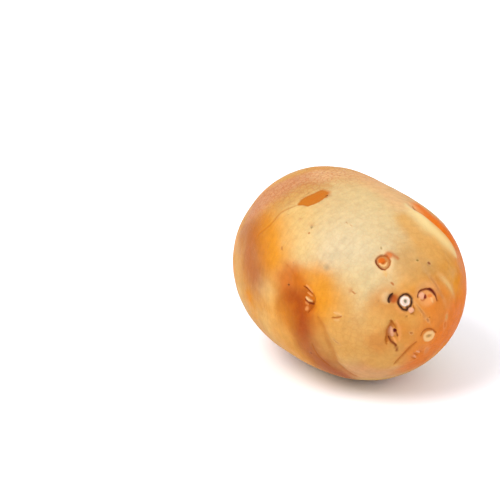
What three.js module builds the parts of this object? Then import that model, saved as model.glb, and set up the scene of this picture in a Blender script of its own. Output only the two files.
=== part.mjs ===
// A whole potato, lying on a small flat spot. Millimetres, +Z up.
//
// +X points to the rose end, where the eyes crowd together, and -X to the stem end, where the
// potato hung on its root. The tuber grew as one piece, so it is one solid: an egg-like body
// with broad swells and hollows, and on it the eyes, the folds of the skin and the stem scar.
//
// A place on the skin is given as the real thing is read, by two angles in degrees:
// along, from 0 at the rose end to 180 at the stem end, and round, about the long axis,
// from 0 at +Y through 90 on top and 180 at -Y to 270 underneath.

import * as THREE from "three";
import { mergeVertices } from "three/addons/utils/BufferGeometryUtils.js";

// Driving dimensions, in millimetres.
const size = {
  length: 95, // stem end to rose end, along X
  width: 71, // along Y
  height: 68, // as it lies, along Z
  restSink: 1.0, // how deep the flat spot cuts into the round underside
};

const fullness = 2.05; // 2 is an ellipsoid, more is fuller at the shoulders

// Slow waves that cross each other, so that no stretch of the skin is a plain ellipsoid: how
// fast each one goes along X, Y and Z, where it starts, and its height in millimetres.
const waves = [
  { pace: new THREE.Vector3(5.1, 2.3, 0), start: 0.4, height: 0.3 },
  { pace: new THREE.Vector3(0, 4.3, -3.7), start: 1.9, height: 0.24 },
  { pace: new THREE.Vector3(4.9, 0, 6.1), start: 4.2, height: 0.18 },
];

// Broad swells (rise above 0) and hollows (rise below 0): where, how far each reaches, in
// degrees, and its rise in millimetres.
const swells = [
  { along: 94, round: 53, reach: 26, rise: -4.0 }, // the flat cheek high on the back
  { along: 125, round: 101, reach: 29, rise: 1.05 }, // far shoulder
  { along: 81, round: 239, reach: 25, rise: -2.25 }, // tucked-in flank low at the front
  { along: 60, round: 164, reach: 14, rise: -2.3 }, // the wide dent round the flank eye
  { along: 92, round: 258, reach: 20, rise: 0.55 }, // belly that it rests on
  { along: 88, round: 300, reach: 24, rise: -0.7 }, // low on the back
  { along: 108, round: 10, reach: 22, rise: -1.3 }, // hollow in the back flank
  { along: 138, round: 205, reach: 24, rise: 1.1 }, // shoulder of the stem end
  { along: 24, round: 250, reach: 18, rise: 0.7 }, // chin under the rose end
];

// The eyes. Each is a shallow basin with a bud in it, under an arched brow on the side of the
// stem end. turn swings the brow about the eye, in degrees; the rest is in millimetres.
const eyes = [
  { along: 38, round: 115.5, width: 6.4, depth: 1.9, brow: 0.9, bud: 1.3, turn: -90 },
  { along: 16, round: 127, width: 4.8, depth: 0.8, brow: 0.0, bud: 1.3, turn: 0 },
  { along: 22, round: 138, width: 4.0, depth: 1.1, brow: 0.2, bud: 0.0, turn: 0 },
  { along: 14.5, round: 80, width: 6.6, depth: 1.7, brow: 1.1, bud: 1.0, turn: -50 },
  { along: 17, round: 199, width: 5.8, depth: 1.5, brow: 0.6, bud: 1.1, turn: 35 },
  { along: 10.5, round: 295, width: 5.2, depth: 0.8, brow: 0.4, bud: 1.1, turn: -45 },
  { along: 21.5, round: 267, width: 4.4, depth: 0.6, brow: 0.4, bud: 0.0, turn: 0 },
  { along: 59.5, round: 171, width: 7.4, depth: 2.0, brow: 0.9, bud: 1.5, turn: -125 },
  { along: 67, round: 0, width: 8.4, depth: 1.9, brow: 1.3, bud: 1.2, turn: -8 },
  { along: 60, round: 322, width: 7.6, depth: 1.5, brow: 1.0, bud: 1.1, turn: 6 },
  { along: 88, round: 334, width: 8.8, depth: 1.8, brow: 1.3, bud: 1.1, turn: 4 },
  { along: 102, round: 240, width: 8.4, depth: 1.5, brow: 1.1, bud: 1.0, turn: -6 },
  { along: 106, round: 38, width: 8.8, depth: 1.8, brow: 1.3, bud: 1.1, turn: 5 },
  { along: 146, round: 166, width: 7.4, depth: 1.2, brow: 0.8, bud: 0.8, turn: -4 },
  { along: 121, round: 300, width: 8.4, depth: 1.4, brow: 1.0, bud: 0.9, turn: 8 },
  { along: 141, round: 70, width: 8.0, depth: 1.2, brow: 0.9, bud: 0.8, turn: 0 },
];

// The shape that all the eyes share, in half widths of an eye.
const eyeShape = {
  basinReach: 0.95,
  basinSquash: 1.15, // how much shorter the basin is up the eye than across it
  archTop: 0.95, // how far the middle of the brow stands from the bud
  archBend: 0.4, // how far the brow bends down round the bud on both sides
  browReach: 0.45,
  browSpan: 1.2,
  budLow: 0.1,
  budReach: 0.38,
  end: 4, // nothing of the eye is left past this
};

// Folds of the skin: a crease through a few places, with a soft lip on the left of the way
// that they are listed, seen from outside.
const folds = [
  // the long crest over the back of the rose end, and the ridge that carries it on
  { through: [[50, 31], [53, 44], [58.5, 59], [66, 71]], width: 2.8, depth: 1.8, lip: 1.5 },
  { through: [[18, 352], [25, 18], [33, 38], [43, 52]], width: 2.8, depth: 0.2, lip: 0.6 },
  // the cleft that runs down from the low eye of the rose end
  { through: [[17, 174], [18, 197], [20, 229]], width: 1.9, depth: 0.8, lip: 0.3 },
  // under the rose end
  { through: [[13, 258], [19, 247], [30, 247]], width: 2.4, depth: 0.7, lip: 0.3 },
  // where the front flank tucks in under the face
  { through: [[53, 180], [49.5, 191], [48.5, 204], [51, 219], [51, 236]], width: 3.2, depth: 0.9, lip: 0.5 },
];

// The shape that all the folds share, in their widths.
const foldShape = { creaseReach: 0.7, lipAside: 1.35, lipReach: 1.05, end: 4.5 };

const stemScar = { width: 9, depth: 2.4, stub: 1.6, stubWidth: 3.6 };

// The mesh: an icosahedron cut evenly, and cut again where there is relief. Its edges are in
// millimetres. They are short up to the first number of eyeRange, in half widths of the eye, and
// long past the second, and foldRange says the same in widths of the fold.
const mesh = {
  detail: 13,
  longest: 4.4,
  eyeEdge: 1.25,
  eyeRange: [1.25, 2.6],
  foldEdge: 2.2,
  foldRange: [1.2, 3],
  cuts: 3, // how often the long edges are cut
  easings: 4, // how often the corners are then evened out
  curveSteps: 48, // points that stand for a fold's curve
};

const semiAxes = new THREE.Vector3(size.length, size.width, size.height).multiplyScalar(0.5);
const stemEnd = new THREE.Vector3(-1, 0, 0);

function directionOf(along, round) {
  const a = THREE.MathUtils.degToRad(along);
  const r = THREE.MathUtils.degToRad(round);
  return new THREE.Vector3(Math.cos(a), Math.sin(a) * Math.cos(r), Math.sin(a) * Math.sin(r));
}

function bell(distance, reach) {
  return Math.exp(-((distance / reach) ** 2));
}

// The way straight out of the skin in direction n.
function outwardAt(n) {
  return n.clone().divide(semiAxes).normalize();
}

// The body's point in direction n, before any eye or fold.
function bodyPoint(n) {
  const [x, y, z] = n.toArray().map((side) => Math.abs(side) ** fullness);
  const point = n.clone().multiply(semiAxes).divideScalar((x + y + z) ** (1 / fullness));
  let rise = 0;
  for (const wave of waves) rise += wave.height * Math.sin(n.dot(wave.pace) + wave.start);
  for (const swell of swells) {
    const away = THREE.MathUtils.radToDeg(n.angleTo(directionOf(swell.along, swell.round)));
    rise += swell.rise * bell(away, swell.reach);
  }
  return point.addScaledVector(outwardAt(n), rise);
}

// An eye's own axes on the skin: across it, and up it towards the stem end.
function setEye(eye) {
  const n = directionOf(eye.along, eye.round);
  const out = outwardAt(n);
  const up = stemEnd.clone().addScaledVector(out, -stemEnd.dot(out)).normalize();
  up.applyAxisAngle(out, THREE.MathUtils.degToRad(eye.turn));
  return { ...eye, centre: bodyPoint(n), up, across: up.clone().cross(out) };
}

// How far the skin rises at point because of one eye: its basin, its brow and its bud. x and y
// run across and up the eye, in half widths.
function eyeRise(eye, point) {
  const offset = point.clone().sub(eye.centre);
  const half = eye.width / 2;
  if (offset.length() > eyeShape.end * half) return 0;
  const x = offset.dot(eye.across) / half;
  const y = offset.dot(eye.up) / half;
  const basin = -eye.depth * bell(Math.hypot(x, eyeShape.basinSquash * y), eyeShape.basinReach);
  const arch = eyeShape.archTop - eyeShape.archBend * x * x;
  const brow = eye.brow * bell(y - arch, eyeShape.browReach) * bell(x * x, eyeShape.browSpan ** 2);
  const bud = eye.bud * bell(Math.hypot(x, y + eyeShape.budLow), eyeShape.budReach);
  return basin + brow + bud;
}

function setFold(fold) {
  const places = fold.through.map(([along, round]) => bodyPoint(directionOf(along, round)));
  const curve = new THREE.CatmullRomCurve3(places);
  const steps = curve.getSpacedPoints(mesh.curveSteps).map((at, i) => {
    const u = i / mesh.curveSteps;
    const left = at.clone().divide(semiAxes).divide(semiAxes).cross(curve.getTangentAt(u));
    return { at, left: left.normalize(), fade: 1 - (2 * u - 1) ** 4 };
  });
  return { ...fold, steps };
}

function nearestStep(fold, point) {
  let nearest = fold.steps[0];
  for (const step of fold.steps) {
    if (point.distanceToSquared(step.at) < point.distanceToSquared(nearest.at)) nearest = step;
  }
  return nearest;
}

// A crease that fades out at both ends, with a soft lip to its left.
function foldRise(fold, point) {
  const nearest = nearestStep(fold, point);
  const offset = point.clone().sub(nearest.at);
  const aside = offset.dot(nearest.left) / fold.width;
  const near = bell(offset.length() / fold.width, foldShape.end);
  const lip = fold.lip * bell(aside - foldShape.lipAside, foldShape.lipReach);
  return nearest.fade * near * (lip - fold.depth * bell(aside, foldShape.creaseReach));
}

// The dry scar at the stem end: a dimple with the stub of the root in it.
function stemScarRise(n, point) {
  if (n.x > 0) return 0; // the other end
  const away = Math.hypot(point.y, point.z);
  const dimple = stemScar.depth * bell(away, stemScar.width / 2);
  return stemScar.stub * bell(away, stemScar.stubWidth / 2) - dimple;
}

// The longest edge that the mesh may have near a point: short where there is relief.
function edgeLengthAt(point, setEyes, setFolds) {
  let longest = mesh.longest;
  for (const eye of setEyes) {
    const away = (2 * point.distanceTo(eye.centre)) / eye.width;
    const far = THREE.MathUtils.smoothstep(away, ...mesh.eyeRange);
    longest = Math.min(longest, THREE.MathUtils.lerp(mesh.eyeEdge, mesh.longest, far));
  }
  for (const fold of setFolds) {
    const away = point.distanceTo(nearestStep(fold, point).at) / fold.width;
    const far = THREE.MathUtils.smoothstep(away, ...mesh.foldRange);
    longest = Math.min(longest, THREE.MathUtils.lerp(mesh.foldEdge, mesh.longest, far));
  }
  return longest;
}

// Cuts every edge that is too long in half, and the faces on both sides of it to match.
function cutLongEdges(directions, faces, setEyes, setFolds) {
  const middles = new Map();
  const middleOf = (i, j) => {
    const key = i < j ? `${i} ${j}` : `${j} ${i}`;
    if (!middles.has(key)) {
      const n = directions[i].clone().add(directions[j]).normalize();
      const length = bodyPoint(directions[i]).distanceTo(bodyPoint(directions[j]));
      const isLong = length > edgeLengthAt(bodyPoint(n), setEyes, setFolds);
      middles.set(key, isLong ? directions.push(n) - 1 : null);
    }
    return middles.get(key);
  };
  return faces.flatMap((face) => {
    let [a, b, c] = face;
    let [ab, bc, ca] = [middleOf(a, b), middleOf(b, c), middleOf(c, a)];
    const count = [ab, bc, ca].filter((middle) => middle !== null).length;
    if (count === 0) return [face];
    if (count === 3) return [[a, ab, ca], [b, bc, ab], [c, ca, bc], [ab, bc, ca]];
    // Turn the face until its last edge is whole, and its first one cut.
    while (ca !== null || ab === null) {
      [a, b, c] = [b, c, a];
      [ab, bc, ca] = [bc, ca, ab];
    }
    if (count === 1) return [[a, ab, c], [ab, b, c]];
    const isShort = directions[a].distanceTo(directions[bc]) < directions[ab].distanceTo(directions[c]);
    const rest = isShort ? [[a, ab, bc], [a, bc, c]] : [[a, ab, c], [ab, bc, c]];
    return [[ab, b, bc], ...rest];
  });
}

// Moves each corner to the middle of its neighbours, which makes the faces more even.
function evenOut(directions, faces) {
  const sums = directions.map(() => new THREE.Vector3());
  for (const [a, b, c] of faces) {
    sums[a].add(directions[b]).add(directions[c]);
    sums[b].add(directions[c]).add(directions[a]);
    sums[c].add(directions[a]).add(directions[b]);
  }
  directions.forEach((n, i) => n.copy(sums[i].normalize()));
}

// The directions and faces of the mesh.
function cutSphere(setEyes, setFolds) {
  const sphere = new THREE.IcosahedronGeometry(1, mesh.detail);
  sphere.deleteAttribute("normal");
  sphere.deleteAttribute("uv");
  const merged = mergeVertices(sphere);
  const corners = merged.getAttribute("position");
  const directions = [];
  for (let i = 0; i < corners.count; i++) {
    directions.push(new THREE.Vector3().fromBufferAttribute(corners, i).normalize());
  }
  let faces = [];
  for (let i = 0; i < merged.index.count; i += 3) {
    faces.push([...merged.index.array.slice(i, i + 3)]);
  }
  for (let cut = 0; cut < mesh.cuts; cut++) {
    faces = cutLongEdges(directions, faces, setEyes, setFolds);
  }
  for (let easing = 0; easing < mesh.easings; easing++) evenOut(directions, faces);
  return { directions, faces };
}

function potatoGeometry() {
  const setEyes = eyes.map(setEye);
  const setFolds = folds.map(setFold);
  const { directions, faces } = cutSphere(setEyes, setFolds);
  const points = directions.map((n) => {
    const point = bodyPoint(n);
    let rise = stemScarRise(n, point);
    for (const eye of setEyes) rise += eyeRise(eye, point);
    for (const fold of setFolds) rise += foldRise(fold, point);
    return point.addScaledVector(outwardAt(n), rise);
  });

  // The flat spot that it rests on.
  const floor = Math.min(...points.map((point) => point.z)) + size.restSink;
  for (const point of points) point.z = Math.max(point.z, floor);

  // Its exact size, with the origin under the middle of its box.
  const geometry = new THREE.BufferGeometry().setFromPoints(points);
  geometry.setIndex(faces.flat());
  geometry.computeBoundingBox();
  const span = geometry.boundingBox.getSize(new THREE.Vector3());
  geometry.scale(size.length / span.x, size.width / span.y, size.height / span.z);
  geometry.computeBoundingBox();
  const middle = geometry.boundingBox.getCenter(new THREE.Vector3());
  geometry.translate(-middle.x, -middle.y, -geometry.boundingBox.min.z);
  geometry.computeVertexNormals();
  return geometry;
}

const skin = new THREE.MeshStandardMaterial({ color: 0xe3b26c, roughness: 0.55, metalness: 0 });

const potato = new THREE.Mesh(potatoGeometry(), skin);
potato.name = "potato";

const group = new THREE.Group();
group.add(potato);

export default group;
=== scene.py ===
# A whole potato lying on its side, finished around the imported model. Metres, +Z up.
import math

import bmesh
import bpy
import numpy as np
from mathutils import Matrix, Vector, noise
from mathutils.bvhtree import BVHTree
from mathutils.kdtree import KDTree


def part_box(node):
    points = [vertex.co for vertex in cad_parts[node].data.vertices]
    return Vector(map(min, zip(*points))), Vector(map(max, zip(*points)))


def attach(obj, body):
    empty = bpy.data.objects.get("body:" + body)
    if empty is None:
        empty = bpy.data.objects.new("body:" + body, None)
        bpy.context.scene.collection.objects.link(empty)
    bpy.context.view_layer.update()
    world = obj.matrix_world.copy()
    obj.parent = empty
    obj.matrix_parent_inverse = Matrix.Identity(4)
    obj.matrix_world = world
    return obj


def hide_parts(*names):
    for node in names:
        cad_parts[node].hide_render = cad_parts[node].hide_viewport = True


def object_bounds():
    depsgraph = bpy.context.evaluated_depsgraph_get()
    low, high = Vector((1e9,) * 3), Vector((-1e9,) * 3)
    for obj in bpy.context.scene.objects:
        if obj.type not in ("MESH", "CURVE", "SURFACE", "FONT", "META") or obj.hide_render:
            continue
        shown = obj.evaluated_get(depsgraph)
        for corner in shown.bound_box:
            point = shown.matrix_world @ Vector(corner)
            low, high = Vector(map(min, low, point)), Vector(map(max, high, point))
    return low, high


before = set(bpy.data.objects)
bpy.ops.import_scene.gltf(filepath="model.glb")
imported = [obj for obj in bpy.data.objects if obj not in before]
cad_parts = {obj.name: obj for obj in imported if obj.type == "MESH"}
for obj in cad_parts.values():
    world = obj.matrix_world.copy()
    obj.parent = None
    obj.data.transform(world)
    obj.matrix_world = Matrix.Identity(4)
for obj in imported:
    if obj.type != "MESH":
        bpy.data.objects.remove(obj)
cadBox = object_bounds()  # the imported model's own box
print("frame loaded")

mm = 0.001
sky = Vector((0, 0, 1))
stemEnd = Vector((-1, 0, 0))


lightLevel = 1.56  # how bright the studio is on the lit side; the skin's own colours are set to it
sheenLevel = 0.025  # what the skin's sheen adds to every colour


def picture(red, green, blue):
    # a colour as it looks in that light, from 0 to 255, as the shader's own colour
    seen = [((c / 255 + 0.055) / 1.055) ** 2.4 for c in (red, green, blue)]
    return np.array([max(c / lightLevel - sheenLevel, 0.003) for c in seen])


tints = {
    # the skin
    "cream": picture(233, 213, 172),
    "straw": picture(234, 207, 154),
    "butter": picture(244, 204, 134),
    "honey": picture(236, 178, 104),
    "gold": picture(244, 160, 52),
    "amber": picture(216, 120, 28),
    # painted shade, for the far side of the shoulder and the tucked-in flank
    "paintedShadeBrown": picture(176, 86, 12),
    "peach": picture(250, 198, 142),
    "rosy": picture(228, 160, 120),
    "tan": picture(214, 162, 98),
    # the next three stand for light: painted shade behind the crest, painted shade along the rims, and
    # a painted highlight on the crest
    "paintedShadeOrange": picture(255, 132, 44),
    "paintedRimShade": picture(242, 132, 50),
    "shine": picture(255, 230, 166),
    # the eyes and marks
    "halo": picture(252, 216, 164),
    "apricot": picture(248, 172, 108),
    "coral": picture(228, 118, 62),
    "brick": picture(186, 92, 50),
    "clay": picture(202, 122, 78),
    "scuff": picture(208, 124, 56),
    "bronze": picture(176, 106, 28),
    "rust": picture(184, 104, 34),
    "umber": picture(140, 72, 14),
    "bark": picture(76, 32, 12),
    "wine": picture(112, 28, 8),
    "plum": picture(150, 58, 42),
    "petal": picture(244, 182, 146),
    "milk": picture(253, 238, 222),
    "scale": picture(253, 204, 142),
    "ash": picture(140, 130, 104),
    "olive": picture(150, 124, 70),
}

# The potato's form

potatoForm = {
    "heart": (-0.3, 0.0, 33.5),  # where the angles along and around are measured from, in mm
    "cuts": 1,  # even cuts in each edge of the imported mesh
    "halvings": 3,  # how many times an edge near a mark may be halved
    "bulge": 1.0,  # how far the new corners follow the round form
    "easings": 5,  # how often the corners are evened out
    "easeBy": 0.5,
    "lumps": [(9.0, 0.18), (3.6, 0.08), (1.7, 0.03)],  # low lumps of the skin: size and height in mm
    "markEdge": 0.26,  # the longest edge in and round an eye, in mm
    "markReach": 5.0,  # how far round an eye the mesh is cut that fine
    "creaseEdge": 0.45,
    "creaseReach": 3.2,
    "wobble": 0.16,  # how far the outline of a small mark wanders, in mm
    "waver": 2.0,  # and that of an area of colour
}

lowCorner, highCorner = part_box("potato")
halfSides = (highCorner - lowCorner) / 2
heart = Vector(potatoForm["heart"]) * mm


def skinPlace(skinTree, along, around, upWay=sky, turn=0):
    # A place on the skin by two angles in degrees: along, from 0 at the rose end to 180 at the
    # stem end, and around the long axis, from 0 at +Y through 90 on top. It has its own axes:
    # out of the skin, up it towards upWay, and across.
    a, r = math.radians(along), math.radians(around)
    n = (math.cos(a), math.sin(a) * math.cos(r), math.sin(a) * math.sin(r))
    out = Vector([n[i] / halfSides[i] for i in range(3)]).normalized()
    onEgg = heart + Vector([n[i] * halfSides[i] for i in range(3)])
    at = skinTree.ray_cast(onEgg + out * 10 * mm, -out)[0]
    up = (upWay - out * upWay.dot(out)).normalized()
    up.rotate(Matrix.Rotation(math.radians(turn), 3, out))
    return {"at": at, "out": out, "up": up, "across": up.cross(out)}


# Eyes and small marks. A form is a spot, a line, a loop or a patch, placed in mm across and up the
# skin. size is a spot's radius and line the half width of a stroke, tall a spot's height against
# its width, lean its tilt, and rise how far the skin stands up there, in mm.

faceEyes = [
    {  # the dished eye high on the face
        "place": (37.9, 115.4), "forms": [
            {"form": "spot", "size": 3.3, "soft": 0.35, "tint": "halo", "cover": 0.6, "rise": 0.12},
            {"form": "line", "through": [(0.4, -2.6), (0.8, -4.8)], "line": 0.7, "tint": "honey",
             "cover": 0.5},
            {"form": "spot", "size": 2.4, "soft": 0.3, "tint": "tan", "cover": 0.6, "rise": -0.15},
            {"form": "spot", "at": (0.2, 0.1), "size": 1.7, "soft": 0.4, "tint": "scuff",
             "cover": 0.75},
            {"form": "loop", "through": [(-2.2, 0.2), (-1.8, 1.4), (-0.7, 2.1), (0.6, 2.1), (1.7, 1.4),
                                         (2.2, 0.2), (1.8, -1.3), (0.7, -2.2), (-0.5, -2.0),
                                         (-1.4, -1.1)],
             "line": 0.36, "tint": "rust", "cover": 0.85, "rise": -0.35},
            {"form": "line", "through": [(-2.1, 1.0), (-2.1, -0.2), (-1.4, -1.2), (-0.4, -2.1),
                                         (0.8, -2.3)],
             "line": 0.34, "tint": "umber", "cover": 0.85, "rise": -0.12},
            {"form": "spot", "at": (-0.4, 0.6), "size": 1.15, "soft": 0.35, "tint": "coral",
             "cover": 0.9, "rise": 0.3},
            {"form": "line", "through": [(-1.2, -0.3), (-0.3, -1.1), (0.8, -0.9), (1.4, 0.1)],
             "line": 0.42, "tint": "scale", "cover": 0.95, "rise": 0.35},
            {"form": "line", "through": [(-0.5, -0.1), (0.1, -0.4), (0.5, 0.3)], "line": 0.22,
             "tint": "rust", "cover": 0.6, "rise": -0.12},
            {"form": "line", "through": [(0.6, 2.4), (1.9, 2.8), (3.0, 2.3), (4.1, 1.6), (5.2, 0.9)],
             "line": 0.85, "tint": "clay", "cover": 0.8, "rise": 0.22},
            {"form": "spot", "at": (2.1, 1.9), "size": 0.9, "soft": 0.5, "tint": "coral",
             "cover": 0.6},
        ]},
    {  # the white-ringed bud in the middle of the rose end
        "place": (15.8, 127.0), "forms": [
            {"form": "spot", "at": (0.4, -0.5), "size": 3.7, "soft": 0.35, "tint": "apricot",
             "cover": 0.5, "rise": 0.1},
            {"form": "loop", "through": [(0.2, 2.2), (-1.4, 1.3), (-2.0, -0.2), (-1.2, -1.9),
                                         (0.3, -2.9), (1.4, -2.3), (2.3, -1.0), (2.5, 0.6),
                                         (1.6, 1.8)],
             "line": 0.5, "tint": "bark", "cover": 1.0, "rise": -0.42},
            {"form": "spot", "at": (0.15, 0.05), "size": 1.6, "soft": 0.2, "tint": "milk",
             "cover": 1.0, "rise": 0.3},
            {"form": "loop", "through": [(0.15, 0.85), (-0.65, 0.05), (0.15, -0.75), (0.95, 0.05)],
             "line": 0.24, "tint": "petal", "cover": 0.45},
            {"form": "spot", "at": (0.15, 0.1), "size": 0.52, "soft": 0.4, "tint": "ash",
             "cover": 0.95, "rise": -0.3},
            {"form": "spot", "at": (0.8, -2.0), "size": 0.65, "soft": 0.5, "tint": "bark",
             "cover": 0.8, "rise": -0.1},
            {"form": "spot", "at": (2.0, -3.0), "size": 0.95, "soft": 0.25, "tint": "petal",
             "cover": 0.95, "rise": 0.38},
            {"form": "line", "through": [(2.8, -1.5), (3.2, -2.7), (2.7, -3.9), (1.5, -4.2)],
             "line": 0.3, "tint": "bronze", "cover": 0.85, "rise": -0.22},
        ]},
    {  # the dark pit beside it
        "place": (22.4, 137.9), "forms": [
            {"form": "spot", "at": (-1.2, 0.3), "size": 1.7, "soft": 0.6, "tint": "halo",
             "cover": 0.5, "rise": 0.1},
            {"form": "spot", "at": (1.0, -0.2), "size": 1.4, "soft": 0.5, "tint": "brick",
             "cover": 0.85, "rise": -0.12},
            {"form": "line", "through": [(0.7, 1.5), (0.0, 0.5), (-0.4, -0.4), (-0.4, -1.4)],
             "line": 0.66, "tint": "bark", "cover": 0.95, "rise": -0.45},
        ]},
    {  # the arched eye at the right
        "place": (14.0, 74.4), "forms": [
            {"form": "spot", "at": (0.2, 0.8), "size": 3.9, "soft": 0.35, "tint": "peach",
             "cover": 0.35, "rise": 0.12},
            {"form": "spot", "at": (0.2, -0.4), "size": 2.4, "soft": 0.5, "tint": "apricot",
             "cover": 0.6},
            {"form": "line", "through": [(-3.1, 0.0), (-2.4, 1.3), (-1.3, 2.0), (0.2, 2.15),
                                         (1.5, 1.8), (2.5, 0.6), (3.2, -0.8), (3.8, -2.5)],
             "line": 0.42, "tint": "umber", "cover": 0.95, "rise": -0.42},
            {"form": "line", "through": [(0.7, 2.0), (1.7, 1.6), (2.5, 0.6), (3.2, -0.8)],
             "line": 0.46, "tint": "wine", "cover": 0.9, "rise": -0.12},
            {"form": "spot", "at": (-1.5, 0.4), "size": 1.1, "soft": 0.35, "tint": "petal",
             "cover": 0.9, "rise": 0.32},
            {"form": "line", "through": [(-2.2, -0.7), (-1.4, -1.2), (-0.5, -1.0)], "line": 0.36,
             "tint": "clay", "cover": 0.8},
            {"form": "spot", "at": (-0.3, -0.2), "size": 0.68, "soft": 0.4, "tint": "plum",
             "cover": 0.95, "rise": -0.25},
            {"form": "spot", "at": (1.3, -0.2), "size": 0.6, "soft": 0.5, "tint": "coral",
             "cover": 0.55},
            {"form": "line", "through": [(1.5, -0.8), (1.8, -2.6)], "line": 0.36, "tint": "scale",
             "cover": 0.55, "rise": 0.15},
        ]},
    {  # the cleft low on the face, with its bud
        "place": (16.6, 199.6), "forms": [
            # painted highlight on the lit right wall of the cleft
            {"form": "line", "through": [(0.6, 4.8), (1.6, 2.6), (2.0, 0.0), (1.8, -2.6)],
             "line": 0.6, "tint": "apricot", "cover": 0.55, "rise": 0.15},
            # painted shade on the cleft's left wall, under its brow
            {"form": "line", "through": [(-0.9, 4.8), (-1.1, 2.6), (-1.7, 0.7), (-1.9, -1.0),
                                         (-2.2, -2.6)],
             "line": 0.85, "tint": "rust", "cover": 0.75, "rise": -0.28},
            {"form": "line", "through": [(-0.9, 5.0), (-0.2, 3.4), (0.7, 2.0)], "line": 0.4,
             "tint": "rust", "cover": 0.8, "rise": -0.18},
            {"form": "line", "through": [(-0.9, 2.0), (-0.6, 0.4), (-0.4, -1.1)], "line": 0.8,
             "tint": "petal", "cover": 0.95, "rise": 0.35},
            {"form": "spot", "at": (0.4, 1.1), "size": 0.62, "soft": 0.35, "tint": "wine",
             "cover": 1.0, "rise": -0.42},
            {"form": "line", "through": [(0.5, 0.9), (1.1, -0.2), (1.2, -1.0)], "line": 0.32,
             "tint": "umber", "cover": 0.85, "rise": -0.15},
            {"form": "line", "through": [(-1.5, -1.0), (-0.8, -2.5), (0.0, -3.4), (0.9, -4.7),
                                         (1.5, -7.2)],
             "line": 0.44, "tint": "umber", "cover": 0.9, "rise": -0.35},
            {"form": "line", "through": [(-0.3, -1.2), (0.5, -2.4), (1.0, -3.4)], "line": 0.36,
             "tint": "apricot", "cover": 0.85, "rise": 0.2},
            {"form": "line", "through": [(-2.3, -0.8), (-2.6, -1.9), (-2.3, -3.6)], "line": 0.4,
             "tint": "bronze", "cover": 0.8, "rise": -0.15},
        ]},
    {  # the pale oval bud under the chin
        "place": (10.4, 294.7), "forms": [
            {"form": "line", "through": [(-3.2, 0.5), (-2.3, 1.9), (-0.8, 2.4), (1.0, 1.8),
                                         (3.3, 0.0)],
             "line": 0.38, "tint": "rust", "cover": 0.85, "rise": -0.3},
            {"form": "spot", "at": (0.3, -0.45), "size": 2.45, "tall": 0.78, "lean": -14,
             "soft": 0.16, "tint": "scale", "cover": 0.95, "rise": 0.28},
            {"form": "spot", "at": (0.25, -0.25), "size": 1.2, "tall": 0.62, "lean": -14,
             "soft": 0.35, "tint": "tan", "cover": 0.9, "rise": -0.22},
            {"form": "spot", "at": (0.35, -0.25), "size": 0.65, "tall": 0.6, "lean": -14,
             "soft": 0.5, "tint": "ash", "cover": 0.45},
        ]},
    {  # the faint scale marks below it
        "place": (21.4, 267.6), "forms": [
            {"form": "line", "through": [(-1.5, 1.5), (1.0, -1.0)], "line": 0.32, "tint": "rust",
             "cover": 0.6, "rise": -0.18},
            {"form": "line", "through": [(-1.4, -0.7), (0.5, -2.3)], "line": 0.32, "tint": "rust",
             "cover": 0.6, "rise": -0.18},
            {"form": "line", "through": [(0.7, 2.1), (1.9, 0.3)], "line": 0.28, "tint": "rust",
             "cover": 0.5, "rise": -0.15},
            {"form": "line", "through": [(-0.6, 2.4), (1.3, 0.6)], "line": 0.36, "tint": "petal",
             "cover": 0.75, "rise": 0.15},
            {"form": "line", "through": [(-0.9, -0.2), (0.5, -1.6)], "line": 0.36, "tint": "petal",
             "cover": 0.6, "rise": 0.15},
        ]},
    {  # the two bud scales in the flank's dent
        "place": (59.1, 170.5), "forms": [
            {"form": "line", "through": [(-1.8, 4.4), (-0.2, 3.6), (1.4, 2.6)], "line": 0.5,
             "tint": "apricot", "cover": 0.7, "rise": 0.22},
            {"form": "spot", "at": (-0.2, 0.3), "size": 2.0, "tall": 1.3, "soft": 0.4,
             "tint": "amber", "cover": 0.5},
            {"form": "line", "through": [(-2.9, 3.8), (-1.4, 3.2), (-0.4, 2.4), (1.1, 1.9)],
             "line": 0.38, "tint": "umber", "cover": 0.9, "rise": -0.32},
            {"form": "line", "through": [(0.9, 2.0), (2.0, 1.2), (2.1, 0.0), (1.5, -1.1),
                                         (1.2, -2.1), (0.9, -3.2), (0.4, -4.4)],
             "line": 0.4, "tint": "rust", "cover": 0.9, "rise": -0.32},
            {"form": "line", "through": [(-1.6, 1.8), (-0.6, 1.45), (1.0, 1.1)], "line": 0.36,
             "tint": "apricot", "cover": 0.9, "rise": 0.28},
            {"form": "line", "through": [(-2.0, 0.9), (-1.0, 0.6), (0.5, 0.3)], "line": 0.28,
             "tint": "scuff", "cover": 0.8, "rise": -0.12},
            {"form": "line", "through": [(-1.8, 0.2), (-0.6, -0.3), (1.0, -0.6)], "line": 0.52,
             "tint": "scale", "cover": 0.95, "rise": 0.42},
            {"form": "line", "through": [(-2.1, -0.4), (-0.9, -1.15), (0.3, -1.5), (1.4, -1.3)],
             "line": 0.36, "tint": "umber", "cover": 0.95, "rise": -0.3},
            {"form": "line", "through": [(-1.8, -1.3), (-0.2, -2.1)], "line": 0.36,
             "tint": "apricot", "cover": 0.55, "rise": 0.12},
            {"form": "spot", "at": (-0.5, -3.3), "size": 0.7, "soft": 0.5, "tint": "apricot",
             "cover": 0.6, "rise": 0.15},
        ]},
    {  # the scuffed patch on the shoulder
        "place": (85.3, 116.7), "forms": [
            {"form": "patch", "through": [(-3.2, -4.9), (-3.7, -2.4), (-2.8, -0.2), (-1.7, 2.7),
                                          (-0.7, 4.8), (1.2, 5.3), (3.2, 3.7), (3.4, -0.3),
                                          (2.0, -2.9), (0.6, -4.0), (-1.3, -4.4)],
             "soft": 0.25, "tint": "scuff", "cover": 0.95, "rise": -0.16},
            {"form": "loop", "through": [(-3.2, -4.9), (-3.7, -2.4), (-2.8, -0.2), (-1.7, 2.7),
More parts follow.
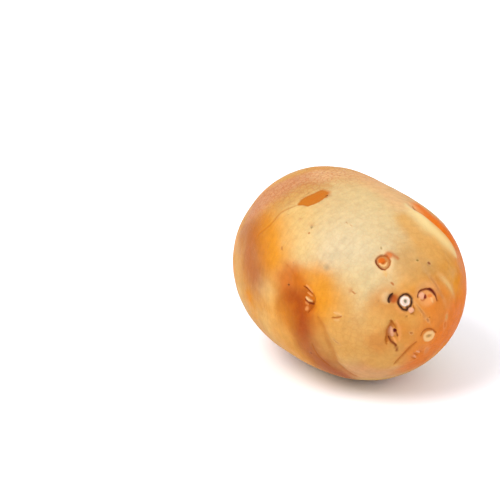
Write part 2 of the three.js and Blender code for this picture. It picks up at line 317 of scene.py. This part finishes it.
                                         (-0.7, 4.8), (1.2, 5.3), (3.2, 3.7), (3.4, -0.3),
                                         (2.0, -2.9), (0.6, -4.0), (-1.3, -4.4)],
             "line": 0.34, "tint": "rust", "cover": 0.4},
            {"form": "line", "through": [(-0.6, -2.4), (0.4, 0.6), (0.8, 3.4)], "line": 0.9,
             "tint": "amber", "cover": 0.4},
        ]},
]

# The eyes that the stem-end half and the underside carry, each by its place, width and turn.
farEyes = [
    ((67, 0), 8.4, -8), ((60, 322), 7.6, 6), ((88, 334), 8.8, 4), ((102, 240), 8.4, -6),
    ((106, 38), 8.8, 5), ((146, 166), 7.4, -4), ((121, 300), 8.4, 8), ((141, 70), 8.0, 0),
]


def farEyeForms(width):
    # a pale lip over a dark brow line, and a flushed basin with a scaly bud in it
    h = width / 2

    def arch(reach, height, sag):
        return [(reach * h * u, (height - sag * u * u) * h) for u in (-1, -0.6, 0, 0.6, 1)]

    return [
        {"form": "line", "through": arch(0.9, 1.0, 0.35), "line": 0.8, "tint": "peach", "cover": 0.4,
         "rise": 0.15},
        {"form": "spot", "at": (0, 0.1 * h), "size": 0.8 * h, "tall": 0.75, "soft": 0.45,
         "tint": "scuff", "cover": 0.45},
        {"form": "line", "through": arch(1.0, 0.72, 0.45), "line": 0.42, "tint": "umber",
         "cover": 0.9, "rise": -0.35},
        {"form": "line", "through": arch(0.55, 0.42, 0.3), "line": 0.3, "tint": "rust",
         "cover": 0.5, "rise": -0.15},
        {"form": "spot", "at": (0, -0.06 * h), "size": 0.36 * h, "tall": 0.8, "soft": 0.2,
         "tint": "rust", "cover": 0.85, "rise": -0.15},
        {"form": "spot", "at": (0, -0.1 * h), "size": 0.27 * h, "tall": 0.75, "soft": 0.25,
         "tint": "petal", "cover": 0.9, "rise": 0.35},
        {"form": "line", "through": arch(0.2, -0.02, 0.12), "line": 0.2, "tint": "rust",
         "cover": 0.75, "rise": -0.12},
    ]


# The dry scar where the root broke off, with cracks round its stub.
stemScar = {"place": (180, 0), "size": 3.6, "stub": 1.7, "cracks": 9, "crackReach": (2.2, 4.4)}


def stemScarForms():
    near, far = stemScar["crackReach"]
    forms = [
        {"form": "spot", "size": stemScar["size"] * 1.5, "soft": 0.5, "tint": "tan", "cover": 0.7},
        {"form": "spot", "size": stemScar["size"], "soft": 0.25, "tint": "scuff", "cover": 0.8,
         "rise": -0.15},
        {"form": "spot", "size": stemScar["stub"] * 1.35, "soft": 0.2, "tint": "umber",
         "cover": 0.9, "rise": -0.25},
        {"form": "spot", "size": stemScar["stub"], "soft": 0.25, "tint": "ash", "cover": 0.85,
         "rise": 0.35},
        {"form": "spot", "size": stemScar["stub"] * 0.4, "soft": 0.4, "tint": "bark",
         "cover": 0.9, "rise": -0.3},
    ]
    for crack in range(stemScar["cracks"]):
        angle = 2 * math.pi * (crack + 0.3 * math.sin(5 * crack)) / stemScar["cracks"]
        reach = far * (0.8 + 0.2 * math.cos(3 * crack))
        ends = [(r * math.cos(angle + 0.1 * r), r * math.sin(angle + 0.1 * r))
                for r in (near, (near + reach) / 2, reach)]
        forms.append({"form": "line", "through": ends, "line": 0.26, "tint": "umber",
                      "cover": 0.7, "rise": -0.15})
    return forms


# Specks and scratches: place, half length, half width, lean in degrees, tint and cover.
specks = [
    ((43.9, 109.4), 0.55, 0.32, -89, "olive", 0.6),
    ((32.5, 84.1), 0.5, 0.36, -13, "olive", 0.85),
    ((31.1, 71.0), 0.55, 0.48, -68, "umber", 0.8),
    ((55.9, 145.6), 1.0, 0.34, -73, "ash", 0.6),
    ((39.0, 152.2), 1.1, 0.26, -37, "rust", 0.65),
    ((26.8, 122.5), 0.75, 0.4, -48, "rust", 0.75),
    ((80.2, 148.9), 1.1, 0.26, -80, "bronze", 0.7),
    ((73.5, 130.0), 1.6, 0.24, -20, "rust", 0.45),
    ((80.9, 130.7), 1.0, 0.3, -14, "rust", 0.3),
    ((63.1, 115.7), 0.8, 0.24, -45, "rust", 0.35),
    ((60.5, 115.2), 0.6, 0.24, -44, "rust", 0.3),
    ((8.6, 221.0), 0.5, 0.4, -22, "bronze", 0.7),
    ((17.5, 337.4), 1.3, 0.6, -77, "amber", 0.8),
    ((3.2, 358.3), 0.7, 0.4, -50, "bronze", 0.7),
    ((17.2, 353.1), 1.0, 0.6, -84, "tan", 0.7),
    ((22.2, 286.8), 1.6, 0.7, -65, "clay", 0.4),
    ((44.8, 197.4), 1.2, 0.4, -28, "bronze", 0.4),
    ((5.2, 90.6), 3.4, 0.35, -57, "bronze", 0.45),
    ((20.4, 58.3), 5.0, 0.5, -70, "bronze", 0.35),
    # a painted highlight: the pale streak on the right side
    ((24.8, 40.0), 4.0, 0.7, -62, "butter", 0.5),
]

# The little smile-shaped nick in the middle of the front, with its pale lips.
nick = {"place": (42.9, 176.2), "forms": [
    {"form": "line", "through": [(-1.6, 1.3), (0.4, 1.2), (1.4, 0.5)], "line": 0.45,
     "tint": "peach", "cover": 0.5, "rise": 0.12},
    {"form": "line", "through": [(-1.2, -1.1), (0.6, -0.9)], "line": 0.45, "tint": "peach",
     "cover": 0.4, "rise": 0.1},
    {"form": "line", "through": [(-2.2, -0.5), (-0.6, -0.3), (0.6, 0.1), (1.3, 0.7)], "line": 0.3,
     "tint": "rust", "cover": 0.75, "rise": -0.25},
]}

# Areas of colour, laid one over the other: the skin's own tones, with painted shade and painted
# highlight among them. through lists places by along and around, wide is the half width in mm at each
# of them, or all the way, and soft how much of it fades.
washes = [
    # the pale face: the skin's paler tone, with a painted highlight where the key light falls
    {"through": [(77, 112), (67, 98), (57, 95), (47, 103)], "wide": 15, "soft": 0.7,
     "tint": "straw", "cover": 0.8},
    {"through": [(69, 148), (60, 140), (53, 134), (45, 136)], "wide": 10, "soft": 0.7,
     "tint": "cream", "cover": 0.85},
    {"through": [(60, 112), (50, 112)], "wide": 9, "soft": 0.8, "tint": "cream", "cover": 0.4},
    {"through": [(38, 148), (32, 156), (35, 168)], "wide": 9, "soft": 0.7, "tint": "straw",
     "cover": 0.85},
    # the shoulder of the stem end
    {"through": [(86, 133), (80, 140), (74, 146)], "wide": 9, "soft": 0.7, "tint": "butter",
     "cover": 0.8},
    # the far side of the shoulder darkens: the gold is partly the skin's tone and partly painted
    # shade, the brown past it wholly painted shade
    {"through": [(99, 147), (91, 150), (84, 155)], "wide": 8, "soft": 0.7, "tint": "gold",
     "cover": 0.9},
    {"through": [(112, 152), (103, 158), (94, 170)], "wide": 8, "soft": 0.95, "tint": "paintedShadeBrown",
     "cover": 0.7},
    {"through": [(116, 136), (109, 126), (104, 116), (100, 105)], "wide": 6.5, "soft": 0.4,
     "tint": "rosy", "cover": 0.75},
    {"through": [(100, 131), (95, 120), (92, 109)], "wide": 4.5, "soft": 0.6, "tint": "tan",
     "cover": 0.6},
    {"through": [(100, 96), (90, 83), (78, 77), (68, 73)], "wide": 6.5, "soft": 0.6,
     "tint": "peach", "cover": 0.75},
    # the dent in the flank and what lies round it, with gold and amber deepening into the hollow as
    # painted shade
    {"through": [(49, 160), (45, 168), (44, 180)], "wide": 6.5, "soft": 0.8, "tint": "honey",
     "cover": 0.9},
    {"through": [(65, 161), (58, 158), (54, 165), (55, 178)], "wide": [4, 6, 6, 7], "soft": 0.55,
     "tint": "gold", "cover": 0.8},
    {"through": [(70, 166), (64, 173), (60, 184)], "wide": 6.5, "soft": 0.5, "tint": "amber",
     "cover": 0.85},
    # the tucked-in flank, painted darker as shade, with gold beside it
    {"through": [(68, 182), (62, 195), (61, 212), (60, 232)], "wide": 7, "soft": 0.5,
     "tint": "paintedShadeBrown", "cover": 0.85},
    {"through": [(76, 190), (76, 210), (74, 232)], "wide": 8, "soft": 0.7, "tint": "gold",
     "cover": 0.6},
    # the front and the underside
    {"through": [(44, 200), (36, 200), (30, 214)], "wide": 9, "soft": 0.7, "tint": "honey",
     "cover": 0.8},
    {"through": [(46, 234), (43, 248), (38, 262), (35, 278)], "wide": 6, "soft": 0.5,
     "tint": "rosy", "cover": 0.55},
    # the rose end
    {"through": [(22, 170), (16, 160), (8, 150), (4, 110)], "wide": 6.5, "soft": 0.7,
     "tint": "honey", "cover": 0.8},
    {"through": [(24, 144), (18, 140)], "wide": 4.5, "soft": 0.6, "tint": "scuff", "cover": 0.4},
    {"through": [(34, 86), (27, 76), (22, 62)], "wide": 6, "soft": 0.7, "tint": "tan",
     "cover": 0.6},
    # painted shade along the rim of the rose end
    {"through": [(12, 40), (10, 0), (12, 300), (18, 275)], "wide": 7, "soft": 0.7,
     "tint": "paintedRimShade", "cover": 0.65},
    # painted shade in the basin of the cleft eye
    {"through": [(13, 196), (18, 201), (26, 206)], "wide": 3.5, "soft": 0.7, "tint": "amber",
     "cover": 0.4},
    # painted shade under the rim of the rose end
    {"through": [(26, 350), (24, 320), (26, 300), (31, 280)], "wide": 7, "soft": 0.5,
     "tint": "paintedRimShade", "cover": 0.85},
    # the back edge, past the crest, with painted shade along the rim and in the strip behind the crest
    {"through": [(56, 28), (48, 8), (42, 352), (38, 335)], "wide": 10, "soft": 0.6,
     "tint": "paintedRimShade", "cover": 0.8},
    {"through": [(57, 82), (49, 80), (42, 72), (37, 60)], "wide": [2.5, 4, 4.5, 4], "soft": 0.6,
     "tint": "honey", "cover": 0.8},
    {"through": [(67, 63), (61, 55), (58, 47), (56, 36)], "wide": [2.5, 4.5, 4.5, 3],
     "soft": 0.8, "tint": "paintedShadeOrange", "cover": 0.9},
]

# Stripes and creases, along curves over the skin, most of their tints painted highlight and painted
# shade. line is the half width in mm.
creases = [
    # a painted highlight along the crest's back, and painted shade darkening the crease behind it
    {"through": [(65, 73), (55, 68.5), (49.5, 60.5), (46, 50), (44.5, 36)], "line": 2.7,
     "tint": "shine", "cover": 0.75, "rise": 0.0},
    {"through": [(66, 67), (58, 61.5), (53.5, 51), (53, 38)], "line": 0.5, "tint": "umber",
     "cover": 0.8, "rise": -0.35},
    # the edge of the rosy shoulder
    {"through": [(88, 125), (91, 130), (93, 134), (94, 142), (99, 151)], "line": 0.45,
     "tint": "rust", "cover": 0.45, "rise": -0.15},
    # painted shade darkening the fold where the front flank tucks in under the face, and a wrinkle in
    # it
    {"through": [(53, 180), (50, 187), (49.5, 198), (49, 208), (51, 219), (51.5, 230), (51, 240)],
     "line": 1.2, "tint": "rust", "cover": 0.4, "rise": -0.25},
    {"through": [(58, 201), (58, 207), (57, 214), (56, 222)], "line": 0.45, "tint": "rust",
     "cover": 0.5, "rise": -0.2},
    # the edge of the dent
    {"through": [(74.5, 156), (71, 158), (68, 162), (66, 171)], "line": 0.6, "tint": "rust",
     "cover": 0.2, "rise": -0.15},
    # painted shade darkening the fold under the rose end
    {"through": [(12, 256), (16, 249), (21, 247), (30, 247.5)], "line": 0.55, "tint": "rust",
     "cover": 0.65, "rise": -0.3},
]

# Where the skin is russeted with a fine net: through, half width in mm, and how strongly.
russets = [
    ([(122, 140), (109, 126), (100, 110), (98, 92)], 11, 0.9),
    ([(50, 225), (44, 215), (38, 205), (34, 190)], 12, 0.3),
    ([(30, 270), (24, 300), (26, 330)], 9, 0.5),
    ([(180, 0), (150, 20)], 16, 0.4),
    ([(75, 300), (100, 285)], 16, 0.4),
]


def localForms():
    # every place with its forms: the face's eyes, the far eyes, the stem scar and the specks
    for eye in faceEyes + [nick]:
        yield eye["place"], sky, 0, eye["forms"]
    for place, width, turn in farEyes:
        yield place, stemEnd, turn, farEyeForms(width)
    yield stemScar["place"], sky, 0, stemScarForms()
    for place, length, width, lean, tint, cover in specks:
        speck = {"form": "spot", "size": length, "tall": width / length, "lean": lean}
        yield place, sky, 0, [
            {**speck, "size": length * 1.5, "soft": 0.6, "tint": "halo", "cover": 0.2},
            {**speck, "soft": 0.5, "tint": tint, "cover": cover, "rise": -0.12},
        ]


def bell(distance, reach):
    return np.exp(-((distance / reach) ** 2))


def fadeOut(distance, start, end):
    # 1 up to start, 0 past end, and smooth between them
    u = np.clip((end - distance) / (end - start), 0, 1)
    return u * u * (3 - 2 * u)


def curveThrough(places, closed=False):
    # a smooth curve through a few places, as short steps
    places = np.array(places, float)
    if closed:
        ends = [places[-1:], places, places[:2]]
    else:
        ends = [2 * places[:1] - places[1:2], places, 2 * places[-1:] - places[-2:-1]]
    guides = np.concatenate(ends)
    u = np.linspace(0, 1, 6, endpoint=False)[:, None]
    steps = []
    for a, b, c, d in zip(guides, guides[1:], guides[2:], guides[3:]):
        steps.append(b + 0.5 * u * (c - a + u * (2 * a - 5 * b + 4 * c - d
                                                 + u * (3 * b - a - 3 * c + d))))
    return np.concatenate(steps + [places[:1] if closed else places[-1:]])


def awayFrom(points, curve):
    # how far each point is from a curve, and how far along the curve that is, from 0 to 1
    away = np.full(len(points), np.inf)
    along = np.zeros(len(points))
    for step, (start, end) in enumerate(zip(curve, curve[1:])):
        side = end - start
        u = np.clip((points - start) @ side / (side @ side), 0, 1)
        here = np.linalg.norm(points - start - u[:, None] * side, axis=1)
        nearer = here < away
        away[nearer] = here[nearer]
        along[nearer] = (step + u[nearer]) / (len(curve) - 1)
    return away, along


def isInside(spots, outline):
    # by how often a line from the spot to one side crosses the outline
    x, y = spots.T
    inside = np.zeros(len(spots), bool)
    for (x0, y0), (x1, y1) in zip(outline, outline[1:]):
        if y0 != y1:
            inside ^= ((y0 > y) != (y1 > y)) & (x < x0 + (x1 - x0) * (y - y0) / (y1 - y0))
    return inside


def strokeCover(away, along, halfWidth):
    # a stroke that thins out towards its two ends
    return bell(away, halfWidth * (0.3 + 0.7 * np.sqrt(np.clip(4 * along * (1 - along), 0, 1))))


def formCover(form, spots):
    # how much of each spot the form covers, from 0 to 1; spots are in mm across and up the skin
    if form["form"] != "spot":
        curve = curveThrough(form["through"], closed=form["form"] != "line")
        away, along = awayFrom(spots, curve)
        if form["form"] == "line":
            return strokeCover(away, along, form["line"])
        if form["form"] == "loop":
            return bell(away, form["line"])
        return fadeOut(np.where(isInside(spots, curve), -away, away), -form["soft"], form["soft"])
    x, y = (spots - np.array(form.get("at", (0, 0)))).T
    lean = math.radians(form.get("lean", 0))
    across = x * math.cos(lean) + y * math.sin(lean)
    up = (y * math.cos(lean) - x * math.sin(lean)) / form.get("tall", 1)
    return fadeOut(np.hypot(across, up), form["size"] * (1 - form["soft"]),
                   form["size"] * (1 + form["soft"]))


def layOver(colours, which, cover, tint):
    # lays a tint over what is there; colours are kept multiplied by how much they cover
    colours[which] *= (1 - cover)[:, None]
    colours[which] += cover[:, None] * np.append(tints[tint], 1)


def noiseOver(points, size, shift=0):
    return np.array([noise.noise(Vector(p) / size + Vector((shift, 0, 0))) for p in points])


def waverOver(points, size):
    return np.array([noise.noise_vector(Vector(p) / size) for p in points])


def copySkin():
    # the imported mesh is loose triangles, so its copy is merged and then cut evenly
    bm = bmesh.new()
    bm.from_mesh(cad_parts["potato"].data)
    bmesh.ops.remove_doubles(bm, verts=bm.verts, dist=0.001 * mm)
    bm.normal_update()
    skinTree = BVHTree.FromBMesh(bm)
    bmesh.ops.subdivide_edges(bm, edges=bm.edges, cuts=potatoForm["cuts"],
                              smooth=potatoForm["bulge"], smooth_falloff="LINEAR",
                              use_grid_fill=True)
    return bm, skinTree


def cutFiner(bm, wanted):
    # halves the edges near each wanted place, a few times over, where they are longer than asked
    bm.verts.index_update()
    bm.edges.index_update()
    for _ in range(potatoForm["halvings"]):
        bm.verts.ensure_lookup_table()
        corners = KDTree(len(bm.verts))
        for vert in bm.verts:
            corners.insert(vert.co, vert.index)
        corners.balance()
        edges = set()
        for at, reach, longest in wanted:
            near = {bm.verts[index] for _, index, _ in corners.find_range(at, reach)}
            edges |= {e for v in near for e in v.link_edges
                      if e.other_vert(v) in near and e.calc_length() > longest}
        bmesh.ops.subdivide_edges(bm, edges=sorted(edges, key=lambda e: e.index), cuts=1)
        bmesh.ops.triangulate(bm, faces=[f for f in bm.faces if len(f.verts) > 3],
                              quad_method="SHORT_EDGE", ngon_method="EAR_CLIP")
        bm.edges.index_update()
        bm.verts.index_update()
        print("edges halved:", len(edges))


def easeOut(bm, times):
    for _ in range(times):
        bmesh.ops.smooth_vert(bm, verts=bm.verts, factor=potatoForm["easeBy"], use_axis_x=True,
                              use_axis_y=True, use_axis_z=True)


def fitToBox(bm):
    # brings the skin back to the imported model's box, and its flat spot to the ground
    co = np.array([vert.co for vert in bm.verts])
    low, high = co.min(0), co.max(0)
    foot = Vector(((low[0] + high[0]) / 2, (low[1] + high[1]) / 2, low[2]))
    bmesh.ops.translate(bm, verts=bm.verts, vec=-foot)
    factors = [2 * halfSides[i] / (high[i] - low[i]) for i in range(3)]
    bmesh.ops.scale(bm, verts=bm.verts, vec=factors)


def curveOverSkin(skinTree, places):
    return curveThrough([np.array(skinPlace(skinTree, *place)["at"]) / mm for place in places])


def wantedCuts(places, curves):
    # where the mesh has to be finer: the place, how far round it, and the longest edge
    wanted = []
    for place, forms in places:
        reach = potatoForm["markReach"] if len(forms) > 2 else 1.6
        wanted.append((place["at"], reach * mm, potatoForm["markEdge"] * mm))
    for curve in curves:
        for at in curve[::2]:
            wanted.append((Vector(at) * mm, potatoForm["creaseReach"] * mm,
                           potatoForm["creaseEdge"] * mm))
    return wanted


def layWashes(points, skinTree):
    wash = np.zeros((len(points), 4))
    wandered = points + potatoForm["waver"] * (waverOver(points, 9) + 0.4 * waverOver(points, 3))
    for area in washes:
        away, along = awayFrom(wandered, curveOverSkin(skinTree, area["through"]))
        wide = np.atleast_1d(area["wide"])
        wide = np.interp(along, np.linspace(0, 1, len(wide)), wide)
        cover = area["cover"] * fadeOut(away / wide, 1 - area["soft"], 1 + area["soft"])
        layOver(wash, cover > 0.001, cover[cover > 0.001], area["tint"])
    return wash


def layRusset(points, skinTree):
    russet = np.full(len(points), 0.15)
    for through, wide, strength in russets:
        away = awayFrom(points, curveOverSkin(skinTree, through))[0]
        russet = np.maximum(russet, strength * bell(away, wide))
    return russet


def makePotatoSkin():
    bm, skinTree = copySkin()
    print("skin copied and cut:", len(bm.faces), "faces")
    easeOut(bm, potatoForm["easings"])
    places = [(skinPlace(skinTree, *place, upWay, turn), forms)
              for place, upWay, turn, forms in localForms()]
    curves = [curveOverSkin(skinTree, crease["through"]) for crease in creases]
    cutFiner(bm, wantedCuts(places, curves))
    easeOut(bm, 2)
    bm.normal_update()
    print("cut finer round the eyes:", len(bm.faces), "faces")

    points = np.array([vert.co for vert in bm.verts]) / mm
    rise = np.zeros(len(points))
    for size, height in potatoForm["lumps"]:
        rise += height * noiseOver(points, size, shift=size)
    wash = layWashes(points, skinTree)
    russet = layRusset(points, skinTree)
    print("colours laid")

    marks = np.zeros((len(points), 4))
    for crease, curve in zip(creases, curves):
        cover = strokeCover(*awayFrom(points, curve), crease["line"])
        rise += crease["rise"] * cover
        layOver(marks, cover > 0.001, (crease["cover"] * cover)[cover > 0.001], crease["tint"])
    for place, forms in places:
        offset = points - np.array(place["at"]) / mm
        near = np.linalg.norm(offset, axis=1) < 9
        spots = np.stack([offset[near] @ place["across"], offset[near] @ place["up"]], axis=1)
        spots += waverOver(points[near], 0.9)[:, :2] * potatoForm["wobble"]
        for form in forms:
            cover = formCover(form, spots)
            rise[near] += form.get("rise", 0) * cover
            layOver(marks, near, form["cover"] * cover, form["tint"])
    print("eyes, creases and specks marked")

    washLayer = bm.verts.layers.float_color.new("wash")
    markLayer = bm.verts.layers.float_color.new("marks")
    russetLayer = bm.verts.layers.float.new("russet")
    for vert in bm.verts:
        vert[washLayer] = wash[vert.index]
        vert[markLayer] = marks[vert.index]
        vert[russetLayer] = russet[vert.index]
        vert.co += vert.normal * float(rise[vert.index]) * mm
        vert.co.z = max(vert.co.z, 0)
    fitToBox(bm)
    for face in bm.faces:
        face.smooth = True
    mesh = bpy.data.meshes.new("potatoSkin")
    bm.to_mesh(mesh)
    bm.free()
    skin = bpy.data.objects.new("potatoSkin", mesh)
    bpy.context.collection.objects.link(skin)
    return skin


# The skin's finish

skinFinish = {
    "pale": "butter",
    "deep": "gold",
    "roughness": (0.42, 0.6),
    "specular": 0.05,
    "flesh": 0.06,  # how much light goes into the flesh and comes out again
    "fleshReach": (2.2, 0.9, 0.35),  # in mm, for red, green and blue
    "netSize": 520,  # cells of the russet's net to a metre
    "streaks": (900, 110, 110),  # fine streaks round the potato, to a metre along X, Y and Z
    "grain": 0.00014,  # height of the skin's fine grain, in metres
}


def addNode(tree, kind, inputs=None, **settings):
    node = tree.nodes.new("ShaderNode" + kind)
    for name, value in settings.items():
        setattr(node, name, value)
    for name, value in (inputs or {}).items():
        if isinstance(value, bpy.types.NodeSocket):
            tree.links.new(value, node.inputs[name])
        else:
            node.inputs[name].default_value = value
    return node


def rampNode(tree, factor, stops, smooth=True):
    # stops are (place, colour or grey)
    node = addNode(tree, "ValToRGB", {0: factor})
    ramp = node.color_ramp
    ramp.interpolation = "EASE" if smooth else "LINEAR"
    while len(ramp.elements) < len(stops):
        ramp.elements.new(0.5)
    for element, (place, value) in zip(ramp.elements, stops):
        element.position = place
        rgb = tints[value] if isinstance(value, str) else (value,) * 3
        element.color = (*rgb, 1)
    return node.outputs["Color"]


def mixColours(tree, factor, under, over, how="MIX"):
    node = addNode(tree, "Mix", {"Factor": factor, 6: under, 7: over}, data_type="RGBA",
                   blend_type=how)
    return node.outputs[2]


def potatoSkinMaterial():
    material = bpy.data.materials.new("potatoSkin")
    material.use_nodes = True
    tree = material.node_tree
    shader = tree.nodes["Principled BSDF"]
    where = addNode(tree, "TexCoord").outputs["Object"]
    russet = addNode(tree, "Attribute", attribute_name="russet").outputs["Fac"]

    def cloud(scale, detail, roughness=0.5, vector=where):
        return addNode(tree, "TexNoise", {"Vector": vector, "Scale": scale, "Detail": detail,
                                          "Roughness": roughness}).outputs["Fac"]

    def times(first, second):
        return addNode(tree, "Math", {0: first, 1: second}, operation="MULTIPLY").outputs[0]

    broad = rampNode(tree, cloud(38, 3), [(0.36, skinFinish["deep"]), (0.5, "honey"),
                                          (0.64, skinFinish["pale"])])
    wash = addNode(tree, "Attribute", attribute_name="wash")
    marks = addNode(tree, "Attribute", attribute_name="marks")

    def layOverWith(under, layer):
        bare = mixColours(tree, layer.outputs["Alpha"], under, (0, 0, 0, 1))
        return mixColours(tree, 1.0, bare, layer.outputs["Color"], "ADD")

    colour = layOverWith(broad, wash)

    # fine mottling, and streaks round the potato
    mottle = rampNode(tree, cloud(420, 4, 0.6), [(0.3, 0.84), (0.7, 1.0)])
    colour = mixColours(tree, 0.7, colour, mottle, "MULTIPLY")
    stretched = addNode(tree, "Mapping", {"Vector": where, "Scale": skinFinish["streaks"]})
    streaks = rampNode(tree, cloud(1.0, 2, 0.5, stretched.outputs[0]), [(0.35, 0.9), (0.6, 1.0)])
    colour = mixColours(tree, 0.5, colour, streaks, "MULTIPLY")

    # the russet's net
    bend = addNode(tree, "TexNoise", {"Vector": where, "Scale": 700.0, "Detail": 2.0})
    bent = addNode(tree, "VectorMath", {0: bend.outputs["Color"], "Scale": 0.0012},
                   operation="SCALE")
    onNet = addNode(tree, "VectorMath", {0: where, 1: bent.outputs[0]}, operation="ADD")
    net = addNode(tree, "TexVoronoi", {"Vector": onNet.outputs[0], "Scale": skinFinish["netSize"]},
                  feature="DISTANCE_TO_EDGE")
    threads = rampNode(tree, net.outputs["Distance"], [(0.02, 1.0), (0.13, 0.0)])
    threads = times(threads, russet)
    colour = mixColours(tree, times(threads, 0.55), colour, (*tints["clay"], 1))

    # scattered lenticels
    cells = addNode(tree, "TexVoronoi", {"Vector": where, "Scale": 115.0, "Randomness": 1.0})
    dots = rampNode(tree, cells.outputs["Distance"], [(0.0, 1.0), (0.04, 1.0), (0.07, 0.0)])
    few = rampNode(tree, addNode(tree, "SeparateColor", {0: cells.outputs["Color"]}).outputs[0],
                   [(0.55, 0.0), (0.6, 0.7)])
    dots = times(dots, few)
    colour = mixColours(tree, dots, colour, (*tints["rust"], 1))
    colour = layOverWith(colour, marks)
    tree.links.new(colour, shader.inputs["Base Color"])

    low, high = skinFinish["roughness"]
    shine = rampNode(tree, cloud(160, 3), [(0.3, low), (0.7, high)])
    tree.links.new(shine, shader.inputs["Roughness"])
    shader.inputs["Specular IOR Level"].default_value = skinFinish["specular"]
    shader.inputs["Subsurface Weight"].default_value = skinFinish["flesh"]
    shader.inputs["Subsurface Radius"].default_value = skinFinish["fleshReach"]
    shader.inputs["Subsurface Scale"].default_value = mm

    grain = addNode(tree, "Math", {0: cloud(1500, 3, 0.6), 1: cloud(420, 3, 0.6)}, operation="ADD")
    grain = addNode(tree, "Math", {0: grain.outputs[0], 1: threads}, operation="ADD")
    bump = addNode(tree, "Bump", {"Strength": 0.6, "Distance": skinFinish["grain"],
                                  "Height": grain.outputs[0]})
    tree.links.new(bump.outputs["Normal"], shader.inputs["Normal"])
    return material


potatoSkin = makePotatoSkin()
potatoSkin.data.materials.append(potatoSkinMaterial())
print("potato skin finished:", len(potatoSkin.data.polygons), "triangles")

# The floor, the light and the camera

studio = {
    "floorSize": 3.0,
    "floorColour": (0.93, 0.93, 0.95),
    "airColour": (0.96, 0.96, 1.0),
    "airStrength": 0.95,
    # softboxes: where they stand, to the right, up and back from the camera's view, then how far
    # away in metres, how wide, and how strong in watts
    "softboxes": {
        "keyLight": {"side": (-0.55, 0.6, 0.75), "away": 1.2, "size": 0.8, "watts": 13.0},
        "fillLight": {"side": (0.8, 0.25, 0.55), "away": 1.3, "size": 1.0, "watts": 6.0},
    },
}

cameraView = {
    "turn": 60,  # degrees round the potato
    "height": 22,  # degrees above the surface it lies on
    "away": 0.9,
    "pictureSide": 500,  # pixels
    "metresPerPixel": 0.00034,  # at the potato
    "boxMiddlePixel": (350.9, 270.2),  # where the middle of the potato's box falls
    "sensor": 36,
}


def viewAxes():
    turn, height = math.radians(cameraView["turn"]), math.radians(cameraView["height"])
    back = Vector((math.sin(turn) * math.cos(height), -math.cos(turn) * math.cos(height),
                   math.sin(height)))
    right = Vector((math.cos(turn), math.sin(turn), 0))
    return right, right.cross(-back), back


def setCamera(boxMiddle):
    right, up, back = viewAxes()
    scale = cameraView["metresPerPixel"]
    x, y = [pixel - cameraView["pictureSide"] / 2 for pixel in cameraView["boxMiddlePixel"]]
    aim = boxMiddle - right * x * scale + up * y * scale
    camera = bpy.data.cameras.new("camera")
    camera.sensor_width = cameraView["sensor"]
    camera.lens = cameraView["sensor"] * cameraView["away"] / (cameraView["pictureSide"] * scale)
    camera.clip_start = 0.05
    seen = bpy.data.objects.new("camera", camera)
    seen.location = boxMiddle + back * cameraView["away"]
    seen.rotation_euler = (aim - seen.location).to_track_quat("-Z", "Y").to_euler()
    bpy.context.collection.objects.link(seen)
    bpy.context.scene.camera = seen


def setStudio(boxMiddle):
    right, up, back = viewAxes()
    for name, box in studio["softboxes"].items():
        light = bpy.data.lights.new(name, "AREA")
        light.shape = "DISK"
        light.size = box["size"]
        light.energy = box["watts"]
        lamp = bpy.data.objects.new(name, light)
        way = (right * box["side"][0] + up * box["side"][1] + back * box["side"][2]).normalized()
        lamp.location = boxMiddle + way * box["away"]
        lamp.rotation_euler = way.to_track_quat("Z", "Y").to_euler()
        bpy.context.collection.objects.link(lamp)
    world = bpy.data.worlds.new("studioAir")
    world.use_nodes = True
    air = world.node_tree.nodes["Background"]
    air.inputs["Color"].default_value = (*studio["airColour"], 1)
    air.inputs["Strength"].default_value = studio["airStrength"]
    bpy.context.scene.world = world
    bpy.context.scene.view_settings.view_transform = "Standard"


def makeFloor():
    bm = bmesh.new()
    bmesh.ops.create_grid(bm, x_segments=1, y_segments=1, size=studio["floorSize"])
    mesh = bpy.data.meshes.new("floor")
    bm.to_mesh(mesh)
    bm.free()
    material = bpy.data.materials.new("paleFloor")
    material.use_nodes = True
    shader = material.node_tree.nodes["Principled BSDF"]
    shader.inputs["Base Color"].default_value = (*studio["floorColour"], 1)
    shader.inputs["Roughness"].default_value = 0.9
    mesh.materials.append(material)
    floor = bpy.data.objects.new("floor", mesh)
    bpy.context.collection.objects.link(floor)
    return floor


boxMiddle = (cadBox[0] + cadBox[1]) / 2
floor = makeFloor()
setStudio(boxMiddle)
setCamera(boxMiddle)
print("studio set")

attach(potatoSkin, "root")
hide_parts("potato")
